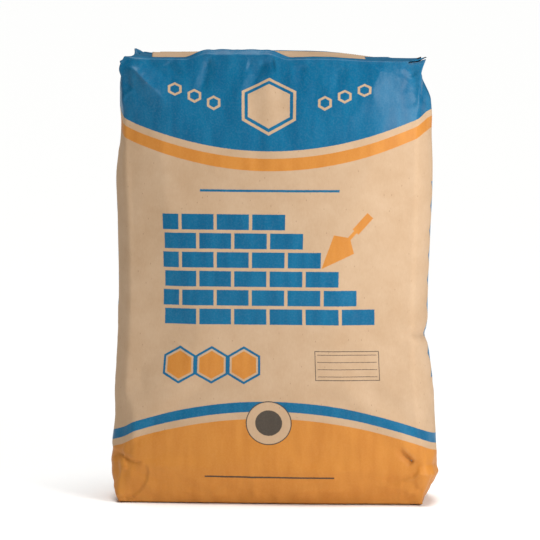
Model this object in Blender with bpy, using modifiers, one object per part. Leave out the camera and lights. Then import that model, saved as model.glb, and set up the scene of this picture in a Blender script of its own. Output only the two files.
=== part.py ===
"""A filled paper valve sack of cement, standing on its pasted bottom end.

Units are metres and +Z is up. The broad front face looks along -Y and the sack's width runs along X.
The origin is the middle of the base. The sack is a tube of kraft paper, pasted into a block end at the
top and at the bottom. A cover strip is pasted over each end, a flat valve sleeve lies in the upper right
corner, and the cement fills the rest.
"""

import math

import bmesh
import bpy

# Overall size of the filled sack.
HEIGHT = 0.620
PAPER = 0.0005
STRIP_PAPER = 0.0005
CLEARANCE = 0.0003

# The sack's section at stations up its height: share of the height, half width to the side panel's
# middle, bulge of the side panel, half depth at the vertical creases, bulge of the front panel.
STATIONS = (
    (0.00, 0.2110, 0.002, 0.0500, 0.001),
    (0.08, 0.2270, 0.014, 0.0560, 0.008),
    (0.22, 0.2225, 0.020, 0.0530, 0.014),
    (0.40, 0.2160, 0.021, 0.0500, 0.017),
    (0.60, 0.2160, 0.020, 0.0490, 0.017),
    (0.78, 0.2185, 0.018, 0.0495, 0.014),
    (0.92, 0.2150, 0.010, 0.0520, 0.007),
    (1.00, 0.2090, 0.002, 0.0520, 0.001),
)

# The pointed ears at an end's corners, outwards along X, Y and Z, and the powers by which they fade.
TOP_EAR = (0.0060, 0.0020, 0.0020)
BOTTOM_EAR = (0.0020, 0.0010, 0.0000)
EAR_FADE = (24, 4, 40)

# Cover strips pasted over the two block ends.
TOP_STRIP_LENGTH = 0.340
TOP_STRIP_WIDTH = 0.078
BOTTOM_STRIP_LENGTH = 0.390
BOTTOM_STRIP_WIDTH = 0.092
STRIP_CORNER = 0.004

# The flat valve sleeve: its mouth is in the right side panel, just under the top end.
VALVE_WIDTH = 0.074
VALVE_THICKNESS = 0.0030
VALVE_DROP = 0.0045
VALVE_REACH = 0.150
VALVE_MOUTH_X = 0.2105
VALVE_PAPER = 0.0005
VALVE_EDGE_ROUND = 0.00135

# The cement stops this far inside the paper's outer face.
FILL_INSET = 0.0014

# The cage that the soft forms are shaped from: its cuts along X, Y and Z, and how far they crowd to the ends.
CAGE_CUTS = (7, 3, 11)
CROWD_X, CROWD_Y, CROWD_Z = 0.35, 0.30, 0.55
RIM_CREASE = 0.80
SIDE_CREASE = 0.15
SMOOTH_ANGLE = math.radians(35)

# A point this far out on the unit box lies on its face, and an edge or face this true follows an axis.
ON_FACE = 0.499
ALIGNED = 0.99

# How far a cutter reaches past the sack's surface.
CUTTER_REACH = 0.030

BASE_Z = STRIP_PAPER + CLEARANCE
TOP_Z = BASE_Z + HEIGHT


def clear_scene():
    """Empties the scene."""
    for obj in list(bpy.data.objects):
        bpy.data.objects.remove(obj, do_unlink=True)


def new_collection(name):
    """A collection in the scene's own collection."""
    collection = bpy.data.collections.new(name)
    bpy.context.scene.collection.children.link(collection)
    return collection


def paper_material(name, colour, roughness):
    """A Principled material of one colour."""
    material = bpy.data.materials.new(name)
    material.use_nodes = True
    shader = material.node_tree.nodes["Principled BSDF"]
    shader.inputs["Base Color"].default_value = (*colour, 1.0)
    shader.inputs["Roughness"].default_value = roughness
    shader.inputs["Metallic"].default_value = 0.0
    return material


def add_object(name, form, collection, material=None):
    """An object made from a bmesh, which is freed."""
    mesh = bpy.data.meshes.new(name)
    form.to_mesh(mesh)
    form.free()
    obj = bpy.data.objects.new(name, mesh)
    collection.objects.link(obj)
    if material:
        mesh.materials.append(material)
        mesh.shade_smooth()
        mesh.set_sharp_from_angle(angle=SMOOTH_ANGLE)
    return obj


def crowd(share_along, amount):
    """Moves even steps from 0 to 1 towards both ends, by the amount from 0 to 1."""
    eased = 0.5 - 0.5 * math.cos(math.pi * share_along)
    return (1.0 - amount) * share_along + amount * eased


def section_at(share_up):
    """The four sizes of the sack's section at a share of its height, between the stations."""
    for below, above in zip(STATIONS, STATIONS[1:]):
        if share_up <= above[0]:
            step = (share_up - below[0]) / (above[0] - below[0])
            return [a + step * (b - a) for a, b in zip(below[1:], above[1:])]
    return STATIONS[-1][1:]


def ear_at(across, deep, up):
    """How far the corner ears pull a point of the sack outwards along X, Y and Z."""
    near_corner = abs(across) ** EAR_FADE[0] * abs(deep) ** EAR_FADE[1]
    near_top = near_corner * up ** EAR_FADE[2]
    near_bottom = near_corner * (1.0 - up) ** EAR_FADE[2]
    return [near_top * high + near_bottom * low for high, low in zip(TOP_EAR, BOTTOM_EAR)]


def sack_point(across, deep, up):
    """A point of the sack for a point of a box: across and deep from -1 to 1, up from 0 to 1."""
    half_width, side_bulge, half_depth, front_bulge = section_at(up)
    ear_x, ear_y, ear_z = ear_at(across, deep, up)
    x = across * (half_width - side_bulge * deep**2) + math.copysign(ear_x, across)
    y = deep * (half_depth + front_bulge * (1.0 - across**2)) + math.copysign(ear_y, deep)
    return x, y, BASE_Z + up * HEIGHT + ear_z


def parallel_edges(form, axis):
    """The edges of a box form that run along one axis."""
    found = []
    for edge in form.edges:
        run = edge.verts[1].co - edge.verts[0].co
        if abs(run[axis]) > ALIGNED * run.length:
            found.append(edge)
    return found


def sack_cage():
    """The coarse cage of the filled sack: a cut-up box, moved into shape, with its folds creased."""
    form = bmesh.new()
    bmesh.ops.create_cube(form, size=1.0)
    for axis, cuts in enumerate(CAGE_CUTS):
        bmesh.ops.subdivide_edges(form, edges=parallel_edges(form, axis), cuts=cuts, use_grid_fill=True)

    crease = form.edges.layers.float.new("crease_edge")
    peak = form.verts.layers.float.new("crease_vert")
    for edge in form.edges:
        on_faces = [all(abs(vert.co[axis]) > ON_FACE for vert in edge.verts) for axis in range(3)]
        if on_faces[2] and (on_faces[0] or on_faces[1]):
            edge[crease] = RIM_CREASE
        elif on_faces[0] and on_faces[1]:
            edge[crease] = SIDE_CREASE

    for vert in form.verts:
        if min(abs(part) for part in vert.co) > ON_FACE:
            vert[peak] = 1.0
        across = 2.0 * crowd(vert.co.x + 0.5, CROWD_X) - 1.0
        deep = 2.0 * crowd(vert.co.y + 0.5, CROWD_Y) - 1.0
        up = crowd(vert.co.z + 0.5, CROWD_Z)
        vert.co = sack_point(across, deep, up)
    return form


def add_smoothing(obj):
    """One level of subdivision, the same in the viewport and the render."""
    smoothing = obj.modifiers.new("smoothing", "SUBSURF")
    smoothing.levels = 1
    smoothing.render_levels = 1


def add_wall(obj, thickness):
    """A wall of even thickness, grown inwards from an open or closed skin."""
    wall = obj.modifiers.new("paper_wall", "SOLIDIFY")
    wall.thickness = thickness
    wall.offset = -1.0
    wall.use_even_offset = True


def add_cut(obj, cutter):
    """A Boolean difference with a cutter."""
    cut = obj.modifiers.new("cut_" + cutter.name, "BOOLEAN")
    cut.operation = "DIFFERENCE"
    cut.object = cutter


def box_form(low, high):
    """A box between two corners."""
    form = bmesh.new()
    bmesh.ops.create_cube(form, size=1.0)
    for vert in form.verts:
        vert.co = [a + (p + 0.5) * (b - a) for a, b, p in zip(low, high, vert.co)]
    return form


def round_edges(form, edges, radius, segments):
    """Rounds some edges of a form."""
    bmesh.ops.bevel(
        form, geom=edges, offset=radius, segments=segments, profile=0.5, affect="EDGES", material=-1
    )


def add_cutter(name, low, high, collection):
    """A box that cuts, and that isn't part of the sack."""
    cutter = add_object(name, box_form(low, high), collection)
    cutter.hide_render = True
    cutter.display_type = "WIRE"
    return cutter


def valve_level():
    """The lowest and the highest face of the flat valve sleeve."""
    middle = TOP_Z - VALVE_DROP
    return middle - VALVE_THICKNESS / 2, middle + VALVE_THICKNESS / 2


def build_paper_sack(parts, cutters, material):
    """The paper tube with its two block ends: a wall of real thickness, open only at the valve."""
    sack = add_object("paper_sack", sack_cage(), parts, material)
    add_smoothing(sack)
    add_wall(sack, PAPER)
    bottom, top = valve_level()
    half = VALVE_WIDTH / 2 + CLEARANCE
    low = (VALVE_MOUTH_X - CUTTER_REACH, -half, bottom - CLEARANCE)
    high = (VALVE_MOUTH_X + CUTTER_REACH, half, top + CLEARANCE)
    add_cut(sack, add_cutter("valve_slit_cutter", low, high, cutters))


def build_cement_fill(parts, cutters, material):
    """The cement, which fills the sack and leaves a pocket for the valve sleeve."""
    fill = add_object("cement_fill", sack_cage(), parts, material)
    add_smoothing(fill)
    inset = fill.modifiers.new("inset", "DISPLACE")
    inset.strength = -FILL_INSET
    inset.mid_level = 0.0
    bottom, _ = valve_level()
    half = VALVE_WIDTH / 2 + CLEARANCE
    low = (VALVE_MOUTH_X - VALVE_REACH - CLEARANCE, -half, bottom - CLEARANCE)
    high = (VALVE_MOUTH_X + CUTTER_REACH, half, TOP_Z + CUTTER_REACH)
    add_cut(fill, add_cutter("valve_pocket_cutter", low, high, cutters))


def build_valve_sleeve(parts, material):
    """The flat paper sleeve of the valve, open at both ends."""
    bottom, top = valve_level()
    low = (VALVE_MOUTH_X - VALVE_REACH, -VALVE_WIDTH / 2, bottom)
    form = box_form(low, (VALVE_MOUTH_X, VALVE_WIDTH / 2, top))
    round_edges(form, parallel_edges(form, 0), VALVE_EDGE_ROUND, 2)
    open_ends = [face for face in form.faces if abs(face.normal.x) > ALIGNED]
    bmesh.ops.delete(form, geom=open_ends, context="FACES")
    sleeve = add_object("valve_sleeve", form, parts, material)
    add_wall(sleeve, VALVE_PAPER)


def build_cover_strip(name, length, width, underside, parts, material):
    """A cover strip with rounded corners, lying flat on an end of the sack."""
    low = (-length / 2, -width / 2, underside)
    form = box_form(low, (length / 2, width / 2, underside + STRIP_PAPER))
    round_edges(form, parallel_edges(form, 2), STRIP_CORNER, 3)
    add_object(name, form, parts, material)


def main():
    """Builds every piece of the filled sack."""
    clear_scene()
    parts = new_collection("cement_bag")
    cutters = new_collection("cutters")
    kraft = paper_material("printed_kraft_paper", (0.62, 0.44, 0.28), 0.75)
    strip_kraft = paper_material("plain_kraft_paper", (0.52, 0.37, 0.23), 0.80)
    cement = paper_material("grey_cement_powder", (0.36, 0.35, 0.33), 0.95)

    build_paper_sack(parts, cutters, kraft)
    build_cement_fill(parts, cutters, cement)
    build_valve_sleeve(parts, strip_kraft)
    build_cover_strip("bottom_cover_strip", BOTTOM_STRIP_LENGTH, BOTTOM_STRIP_WIDTH, 0.0, parts, strip_kraft)
    top_underside = TOP_Z + CLEARANCE
    build_cover_strip("top_cover_strip", TOP_STRIP_LENGTH, TOP_STRIP_WIDTH, top_underside, parts, strip_kraft)


main()
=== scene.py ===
"""The looks of a filled paper valve sack of cement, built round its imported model.

The sack is one sheet of printed kraft paper over a settled block of cement. Its skin starts as a finely cut
box, takes the filled sack's form, is pressed outwards as cloth over the cement so that it puckers, and is
then folded where sack paper folds. The print is drawn by shader maths in real sizes on the flat sheet.
Sizes are in millimetres here and turn to metres once, by MM.
"""

import logging
import math
from collections.abc import Sequence
from dataclasses import dataclass, field
from enum import Enum

import bmesh
import bpy
import numpy as np
from bmesh.types import BMesh, BMFace, BMVert
from bpy.types import Material, Mesh, NodeSocket, Object
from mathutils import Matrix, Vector, noise
from mathutils.bvhtree import BVHTree


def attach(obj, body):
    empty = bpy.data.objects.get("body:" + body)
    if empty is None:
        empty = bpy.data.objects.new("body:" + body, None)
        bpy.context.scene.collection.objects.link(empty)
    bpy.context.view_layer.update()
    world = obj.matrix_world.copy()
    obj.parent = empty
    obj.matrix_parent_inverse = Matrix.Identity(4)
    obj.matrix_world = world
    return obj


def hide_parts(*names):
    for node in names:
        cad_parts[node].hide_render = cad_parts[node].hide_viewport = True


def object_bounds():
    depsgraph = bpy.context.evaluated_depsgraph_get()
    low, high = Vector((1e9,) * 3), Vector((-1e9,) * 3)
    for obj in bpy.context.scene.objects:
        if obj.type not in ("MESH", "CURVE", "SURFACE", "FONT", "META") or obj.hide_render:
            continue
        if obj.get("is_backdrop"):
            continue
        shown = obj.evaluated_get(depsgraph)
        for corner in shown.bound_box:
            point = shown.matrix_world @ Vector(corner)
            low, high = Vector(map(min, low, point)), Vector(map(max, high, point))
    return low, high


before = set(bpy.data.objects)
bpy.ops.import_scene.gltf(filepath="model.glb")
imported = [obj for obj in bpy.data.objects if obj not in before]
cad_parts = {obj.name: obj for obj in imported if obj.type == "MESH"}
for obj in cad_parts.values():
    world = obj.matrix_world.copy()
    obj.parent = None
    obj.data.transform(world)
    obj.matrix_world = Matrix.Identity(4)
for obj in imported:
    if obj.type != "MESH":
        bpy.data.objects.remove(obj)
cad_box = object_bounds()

log = logging.getLogger("cement_bag")

BODY = "root"
MM = 0.001
PLACE = "place_in_box"
SHEET = "sheet"
WEAR = "wear"

# The unit box that the sack starts from: its half side, and where a point is on a face, or near it.
HALF = 0.5
ON_FACE = 0.4999
NEAR_FACE = 0.49

# Heights in metres: above the sack, below it, the lowest that its top end gets, and just past the top's edge.
ABOVE = 0.7
BELOW = -0.1
LOWEST_TOP = 0.590
PAST_EDGE = 0.602


class Slot(Enum):
    """The record's material slots."""

    PRINTED = "printed_kraft_paper"
    PLAIN = "plain_kraft_paper"
    CEMENT = "cement_powder"


class Panel(Enum):
    """A face of the sack: the axis it looks along, its sign, and where its folds start to take hold."""

    FRONT = (1, -1, 0.12)
    BACK = (1, 1, 0.12)
    LEFT = (0, -1, 0.40)
    RIGHT = (0, 1, 0.40)

    def hold(self, place: np.ndarray) -> np.ndarray:
        """Says how far each point belongs to this panel, from 0 to 1, by its place in the unit box."""
        axis, sign, start = self.value
        return smooth_step(start, NEAR_FACE, place[:, axis] * sign)

    def flatten(self, points: np.ndarray) -> np.ndarray:
        """Drops the axis that the panel looks along."""
        return np.delete(points, self.value[0], axis=1)


def smooth_step(low: float, high: float, at: np.ndarray) -> np.ndarray:
    """Rises smoothly from 0 at low to 1 at high.

    Args:
        low: Where the rise starts.
        high: Where it ends.
        at: The places asked for.

    Returns:
        The share of the rise at each place.
    """
    share = np.clip((at - low) / (high - low), 0.0, 1.0)
    return share * share * (3.0 - 2.0 * share)


def linear(hex_colour: str) -> tuple[float, float, float, float]:
    """Turns an sRGB hex colour to linear light.

    Args:
        hex_colour: A hash and six hex digits.

    Returns:
        Red, green, blue and an alpha of 1.
    """
    parts = [int(hex_colour[k : k + 2], 16) / 255 for k in (1, 3, 5)]
    lit = [c / 12.92 if c <= 0.04045 else ((c + 0.055) / 1.055) ** 2.4 for c in parts]
    return (*lit, 1.0)


def rows_of(items: bpy.types.bpy_prop_collection, key: str) -> np.ndarray:
    """Reads one vector of each item, as rows of x, y and z."""
    flat = np.empty(len(items) * 3)
    items.foreach_get(key, flat)
    return flat.reshape(-1, 3)


def read_points(mesh: Mesh) -> np.ndarray:
    """Reads where a mesh's points are."""
    return rows_of(mesh.vertices, "co")


def write_points(mesh: Mesh, points: np.ndarray) -> None:
    """Moves a mesh's points to new places."""
    mesh.vertices.foreach_set("co", points.ravel())
    mesh.update()


def read_normals(mesh: Mesh) -> np.ndarray:
    """Reads the normals at a mesh's points."""
    return rows_of(mesh.vertex_normals, "vector")


def read_edges(mesh: Mesh) -> tuple[np.ndarray, np.ndarray]:
    """Reads the first and the second point of each edge."""
    pairs = np.empty(len(mesh.edges) * 2, dtype=int)
    mesh.edges.foreach_get("vertices", pairs)
    first, second = pairs.reshape(-1, 2).T
    return first, second


def store(mesh: Mesh, name: str, kind: str, values: np.ndarray) -> None:
    """Keeps one value for each point of a mesh.

    Args:
        mesh: The mesh.
        name: The attribute's name.
        kind: FLOAT or FLOAT_VECTOR.
        values: The values, in the order of the points.
    """
    layer = mesh.attributes.new(name, kind, "POINT")
    layer.data.foreach_set("vector" if kind == "FLOAT_VECTOR" else "value", values.ravel())


def recall(mesh: Mesh, name: str) -> np.ndarray:
    """Reads back a vector kept for each point of a mesh."""
    return rows_of(mesh.attributes[name].data, "vector")


def new_object(name: str, form: BMesh, finishes: Sequence[Material]) -> Object:
    """Makes an object at the origin from a bmesh, smooth shaded.

    Args:
        name: The object's name.
        form: The bmesh, which is freed.
        finishes: The materials for its faces' material numbers.

    Returns:
        The new object.
    """
    mesh = bpy.data.meshes.new(name)
    form.to_mesh(mesh)
    form.free()
    mesh.shade_smooth()
    for finish in finishes:
        mesh.materials.append(finish)
    obj = bpy.data.objects.new(name, mesh)
    bpy.context.scene.collection.objects.link(obj)
    return obj


def cut_along(form: BMesh, axis: int, cuts: int) -> None:
    """Cuts a box's edges that run along one axis, and its faces with them.

    Args:
        form: The bmesh.
        axis: The axis.
        cuts: How many cuts.
    """
    along = [e for e in form.edges if abs((e.verts[1].co - e.verts[0].co)[axis]) > 0.99 * e.calc_length()]
    bmesh.ops.subdivide_edges(form, edges=along, cuts=cuts, use_grid_fill=True)


def extrude(form: BMesh, faces: Sequence[BMFace], hollow: bool = False) -> list[BMVert]:
    """Extrudes a patch of faces in place.

    Args:
        form: The bmesh.
        faces: The patch.
        hollow: Whether the patch leaves an opening behind it, as in a wall, or a face, as on a sheet.

    Returns:
        The points of the extruded patch, which are still to be moved.
    """
    made = bmesh.ops.extrude_face_region(form, geom=faces)["geom"]
    moved = [item for item in made if isinstance(item, BMVert)]
    if hollow:
        bmesh.ops.delete(form, geom=faces, context="FACES")
    return moved


def neighbour_mean(mesh: Mesh, values: np.ndarray) -> np.ndarray:
    """Averages each point's neighbours.

    Args:
        mesh: The mesh.
        values: One row for each point.

    Returns:
        The mean of the neighbours' rows, for each point.
    """
    first, second = read_edges(mesh)
    many = len(values)
    count = np.bincount(first, minlength=many) + np.bincount(second, minlength=many)
    total = [
        np.bincount(first, row[second], many) + np.bincount(second, row[first], many) for row in values.T
    ]
    return np.stack(total, 1) / count[:, None]


def top_at(tree: BVHTree, x: float, y: float) -> float:
    """Finds how high the sack's top end is at a place.

    Args:
        tree: The sack's surface.
        x: The place's x, in millimetres.
        y: Its y.

    Returns:
        The height, in metres.
    """
    hit = tree.ray_cast(Vector((x * MM, y * MM, ABOVE)), Vector((0.0, 0.0, -1.0)))[0]
    return hit.z if hit and hit.z > LOWEST_TOP else PAST_EDGE


def report(obj: Object) -> None:
    """Logs a finished piece and its size."""
    points = read_points(obj.data) / MM
    size = ", ".join(f"{low:.1f} to {high:.1f}" for low, high in zip(points.min(0), points.max(0)))
    log.info("%s: %d faces, %s mm", obj.name, len(obj.data.polygons), size)


@dataclass(frozen=True)
class Swell:
    """A soft push of the paper round one point, in millimetres."""

    centre: tuple[float, float, float]
    reach: tuple[float, float, float]
    push: tuple[float, float, float]

    def shift(self, points: np.ndarray) -> np.ndarray:
        """Works out how far the swell moves each point.

        Args:
            points: The points, in millimetres.

        Returns:
            Their moves, in millimetres.
        """
        away = (points - np.array(self.centre)) / np.array(self.reach)
        share = np.clip(1.0 - (away**2).sum(1), 0.0, 1.0) ** 2
        return share[:, None] * np.array(self.push)


@dataclass(frozen=True)
class Fold:
    """A line along which the paper is folded, on one panel, in millimetres.

    Its height is how far its crest stands out, below 0 for a groove. Its width is from the crest to the foot
    on its left, going along the path, and lee times that on its right. Its ends are the shares of its length
    over which it dies away, and its bend is the radius that stiff paper keeps at the crest.
    """

    panel: Panel
    path: tuple[tuple[float, float], ...]
    height: float
    width: float = 8.0
    lee: float = 1.0
    ends: tuple[float, float] = (0.3, 0.3)
    bend: float = 1.2

    def lift(self, flat: np.ndarray) -> np.ndarray:
        """Works out how far the fold lifts each point of its panel.

        Args:
            flat: The points on the panel's two axes, in millimetres.

        Returns:
            The lift at each point, in millimetres.
        """
        nearest = np.full(len(flat), np.inf)
        side = np.zeros(len(flat))
        along = np.zeros(len(flat))
        run = 0.0
        for start, end in zip(self.path, self.path[1:]):
            step = np.array(end) - np.array(start)
            length = float(np.hypot(*step))
            off = flat - np.array(start)
            share = np.clip(off @ step / length**2, 0.0, 1.0)
            apart = off - share[:, None] * step
            distance = np.hypot(apart[:, 0], apart[:, 1])
            closer = distance < nearest
            nearest = np.where(closer, distance, nearest)
            side = np.where(closer, step[0] * off[:, 1] - step[1] * off[:, 0], side)
            along = np.where(closer, run + share * length, along)
            run += length
        flank = np.where(side > 0, self.width, self.width * self.lee)
        away = np.sqrt(nearest**2 + self.bend**2) - self.bend
        crest = np.clip(1.0 - away / flank, 0.0, 1.0) ** 1.3
        rise = smooth_step(0.0, max(self.ends[0], 0.001) * run, along)
        fall = smooth_step(0.0, max(self.ends[1], 0.001) * run, run - along)
        return self.height * crest * rise * fall


@dataclass(frozen=True)
class FilledForm:
    """The form that the cement gives the sack: its section at stations up its height, in millimetres.

    A station holds its share of the height, the half width to the side panel's middle, the bulge of the side
    panel, the half depth at the vertical folds and the bulge of the front panel.
    """

    base: float = 1.6
    top: float = 620.8
    stations: tuple[tuple[float, float, float, float, float], ...] = (
        (0.00, 211.0, 2.0, 50.0, 1.0),
        (0.08, 227.0, 14.0, 56.0, 8.0),
        (0.22, 222.5, 20.0, 53.0, 11.4),
        (0.40, 216.0, 21.0, 50.0, 13.6),
        (0.60, 216.0, 20.0, 49.0, 13.6),
        (0.78, 218.5, 18.0, 49.5, 11.4),
        (0.92, 215.0, 10.0, 52.0, 7.0),
        (1.00, 209.0, 2.0, 52.0, 1.0),
    )
    top_ear: tuple[float, float, float] = (6.0, 2.0, 2.0)
    bottom_ear: tuple[float, float, float] = (2.0, 1.0, 0.0)
    ear_fade: tuple[float, float, float] = (24.0, 4.0, 40.0)

    def station(self, up: np.ndarray, column: int) -> np.ndarray:
        """Runs a smooth line through one column of the stations.

        Args:
            up: Shares of the height.
            column: The column asked for.

        Returns:
            The column's value at each share.
        """
        rows = np.array(self.stations)
        knots, values = rows[:, 0], rows[:, column]
        slopes = np.gradient(values, knots)
        at = np.clip(np.searchsorted(knots, up, side="right") - 1, 0, len(knots) - 2)
        step = knots[at + 1] - knots[at]
        t = (up - knots[at]) / step
        start = (2 * t**3 - 3 * t**2 + 1) * values[at] + (t**3 - 2 * t**2 + t) * step * slopes[at]
        end = (3 * t**2 - 2 * t**3) * values[at + 1] + (t**3 - t**2) * step * slopes[at + 1]
        return start + end

    def fill_out(self, place: np.ndarray) -> np.ndarray:
        """Takes points of the unit box to the filled sack.

        Args:
            place: Points of the unit box round the origin.

        Returns:
            The points on the sack, in metres.
        """
        across, deep, up = place[:, 0] * 2, place[:, 1] * 2, place[:, 2] + HALF
        half_width, side_bulge, half_depth, front_bulge = (self.station(up, k) for k in (1, 2, 3, 4))
        corner = np.abs(across) ** self.ear_fade[0] * np.abs(deep) ** self.ear_fade[1]
        near_top = corner * up ** self.ear_fade[2]
        near_bottom = corner * (1.0 - up) ** self.ear_fade[2]
        ears = [near_top * high + near_bottom * low for high, low in zip(self.top_ear, self.bottom_ear)]
        x = across * (half_width - side_bulge * deep**2) + np.sign(across) * ears[0]
        y = deep * (half_depth + front_bulge * (1.0 - across**2)) + np.sign(deep) * ears[1]
        z = self.base + up * (self.top - self.base) + ears[2]
        return np.stack([x, y, z], 1) * MM


@dataclass(frozen=True)
class PaperCloth:
    """How sack paper moves when the cement presses it: hardly stretching, stiff in bending.

    Its spare paper is a share of its size. It grows to all of it over spare_top in the unit box, and at the
    bottom to bottom_share of it over spare_bottom. The paper moves no further than most, and near the ends by
    end_share of that. The ends are held, and the corners beyond held_corner by corner_hold. It comes as near
    to the cement as its skin.
    """

    stretch: float = 60.0
    shear: float = 42.0
    bending: float = 12.0
    pressure: float = 2.2
    spare: float = 0.004
    spare_at_ends: float = 0.010
    core_gap: float = 2.5 * MM
    frames: int = 25
    most: float = 8.0 * MM
    end_share: float = 0.25
    end_zone: float = 0.42
    held_corner: tuple[float, float, float] = (0.48, 0.36, 0.44)
    corner_hold: float = 0.6
    spare_top: tuple[float, float] = (0.30, 0.46)
    spare_bottom: tuple[float, float] = (0.34, 0.48)
    bottom_share: float = 0.45
    quality: int = 6
    point_mass: float = 0.2
    damping: float = 10.0
    bending_damping: float = 1.0
    air_damping: float = 3.0
    skin: float = 1.0 * MM

    def settle(self, sack: Object, place: np.ndarray) -> np.ndarray:
        """Presses the paper outwards over the cement and reads where it settles.

        Args:
            sack: The sack's object.
            place: Its points' places in the unit box.

        Returns:
            The settled points, in metres.
        """
        before = read_points(sack.data)
        core = self.make_core(sack)
        self.add_groups(sack, place)
        cloth = sack.modifiers.new("paper", "CLOTH")
        paper = cloth.settings
        paper.quality = self.quality
        paper.mass = self.point_mass
        paper.tension_stiffness = paper.compression_stiffness = self.stretch
        paper.shear_stiffness = self.shear
        paper.bending_stiffness = self.bending
        paper.tension_damping = paper.compression_damping = paper.shear_damping = self.damping
        paper.bending_damping = self.bending_damping
        paper.air_damping = self.air_damping
        paper.use_pressure = True
        paper.uniform_pressure_force = self.pressure
        paper.shrink_min = -self.spare
        paper.shrink_max = -self.spare_at_ends
        paper.vertex_group_shrink = "spare"
        paper.vertex_group_mass = "held"
        paper.pin_stiffness = 1.0
        paper.effector_weights.gravity = 0.0
        cloth.collision_settings.use_self_collision = False
        cloth.collision_settings.use_collision = True
        cloth.collision_settings.distance_min = self.skin
        cloth.collision_settings.collision_quality = 3
        cloth.point_cache.frame_start = 1
        cloth.point_cache.frame_end = self.frames
        for number in range(1, self.frames + 1):
            bpy.context.scene.frame_set(number)
        graph = bpy.context.evaluated_depsgraph_get()
        settled = read_points(sack.evaluated_get(graph).data)
        sack.modifiers.clear()
        sack.vertex_groups.clear()
        bpy.context.scene.frame_set(1)
        bpy.data.objects.remove(core)
        move = settled - before
        move *= self.end_share + (1.0 - self.end_share) * smooth_step(HALF, self.end_zone, place[:, 2:])
        length = np.linalg.norm(move, axis=1)
        cap = np.minimum(1.0, self.most / np.maximum(length, 1e-9))
        log.info("the paper moved %.1f mm at most, %.1f on average", length.max() / MM, length.mean() / MM)
        return before + move * cap[:, None]

    def make_core(self, sack: Object) -> Object:
        """Makes the cement that the paper can't sink into.

        Args:
            sack: The sack's object.

        Returns:
            The core's object.
        """
        core = sack.copy()
        core.data = sack.data.copy()
        write_points(core.data, read_points(sack.data) - read_normals(sack.data) * self.core_gap)
        bpy.context.scene.collection.objects.link(core)
        core.modifiers.new("cement", "COLLISION")
        core.collision.thickness_outer = self.skin
        return core

    def add_groups(self, sack: Object, place: np.ndarray) -> None:
        """Says where the paper is held and where it has paper to spare.

        Args:
            sack: The sack's object.
            place: Its points' places in the unit box.
        """
        end = np.abs(place[:, 2]) > ON_FACE
        corner = ~end & (place[:, 2] > 0.0) & (np.abs(place) > self.held_corner).all(1)
        held = sack.vertex_groups.new(name="held")
        held.add(np.flatnonzero(end).tolist(), 1.0, "REPLACE")
        held.add(np.flatnonzero(corner).tolist(), self.corner_hold, "REPLACE")
        spare = sack.vertex_groups.new(name="spare")
        near_top = smooth_step(*self.spare_top, place[:, 2])
        near_bottom = smooth_step(*self.spare_bottom, -place[:, 2])
        weight = np.maximum(near_top, self.bottom_share * near_bottom)
        for level in range(1, 11):
            members = np.flatnonzero(np.round(weight * 10) == level)
            spare.add(members.tolist(), level / 10, "REPLACE")


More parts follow.
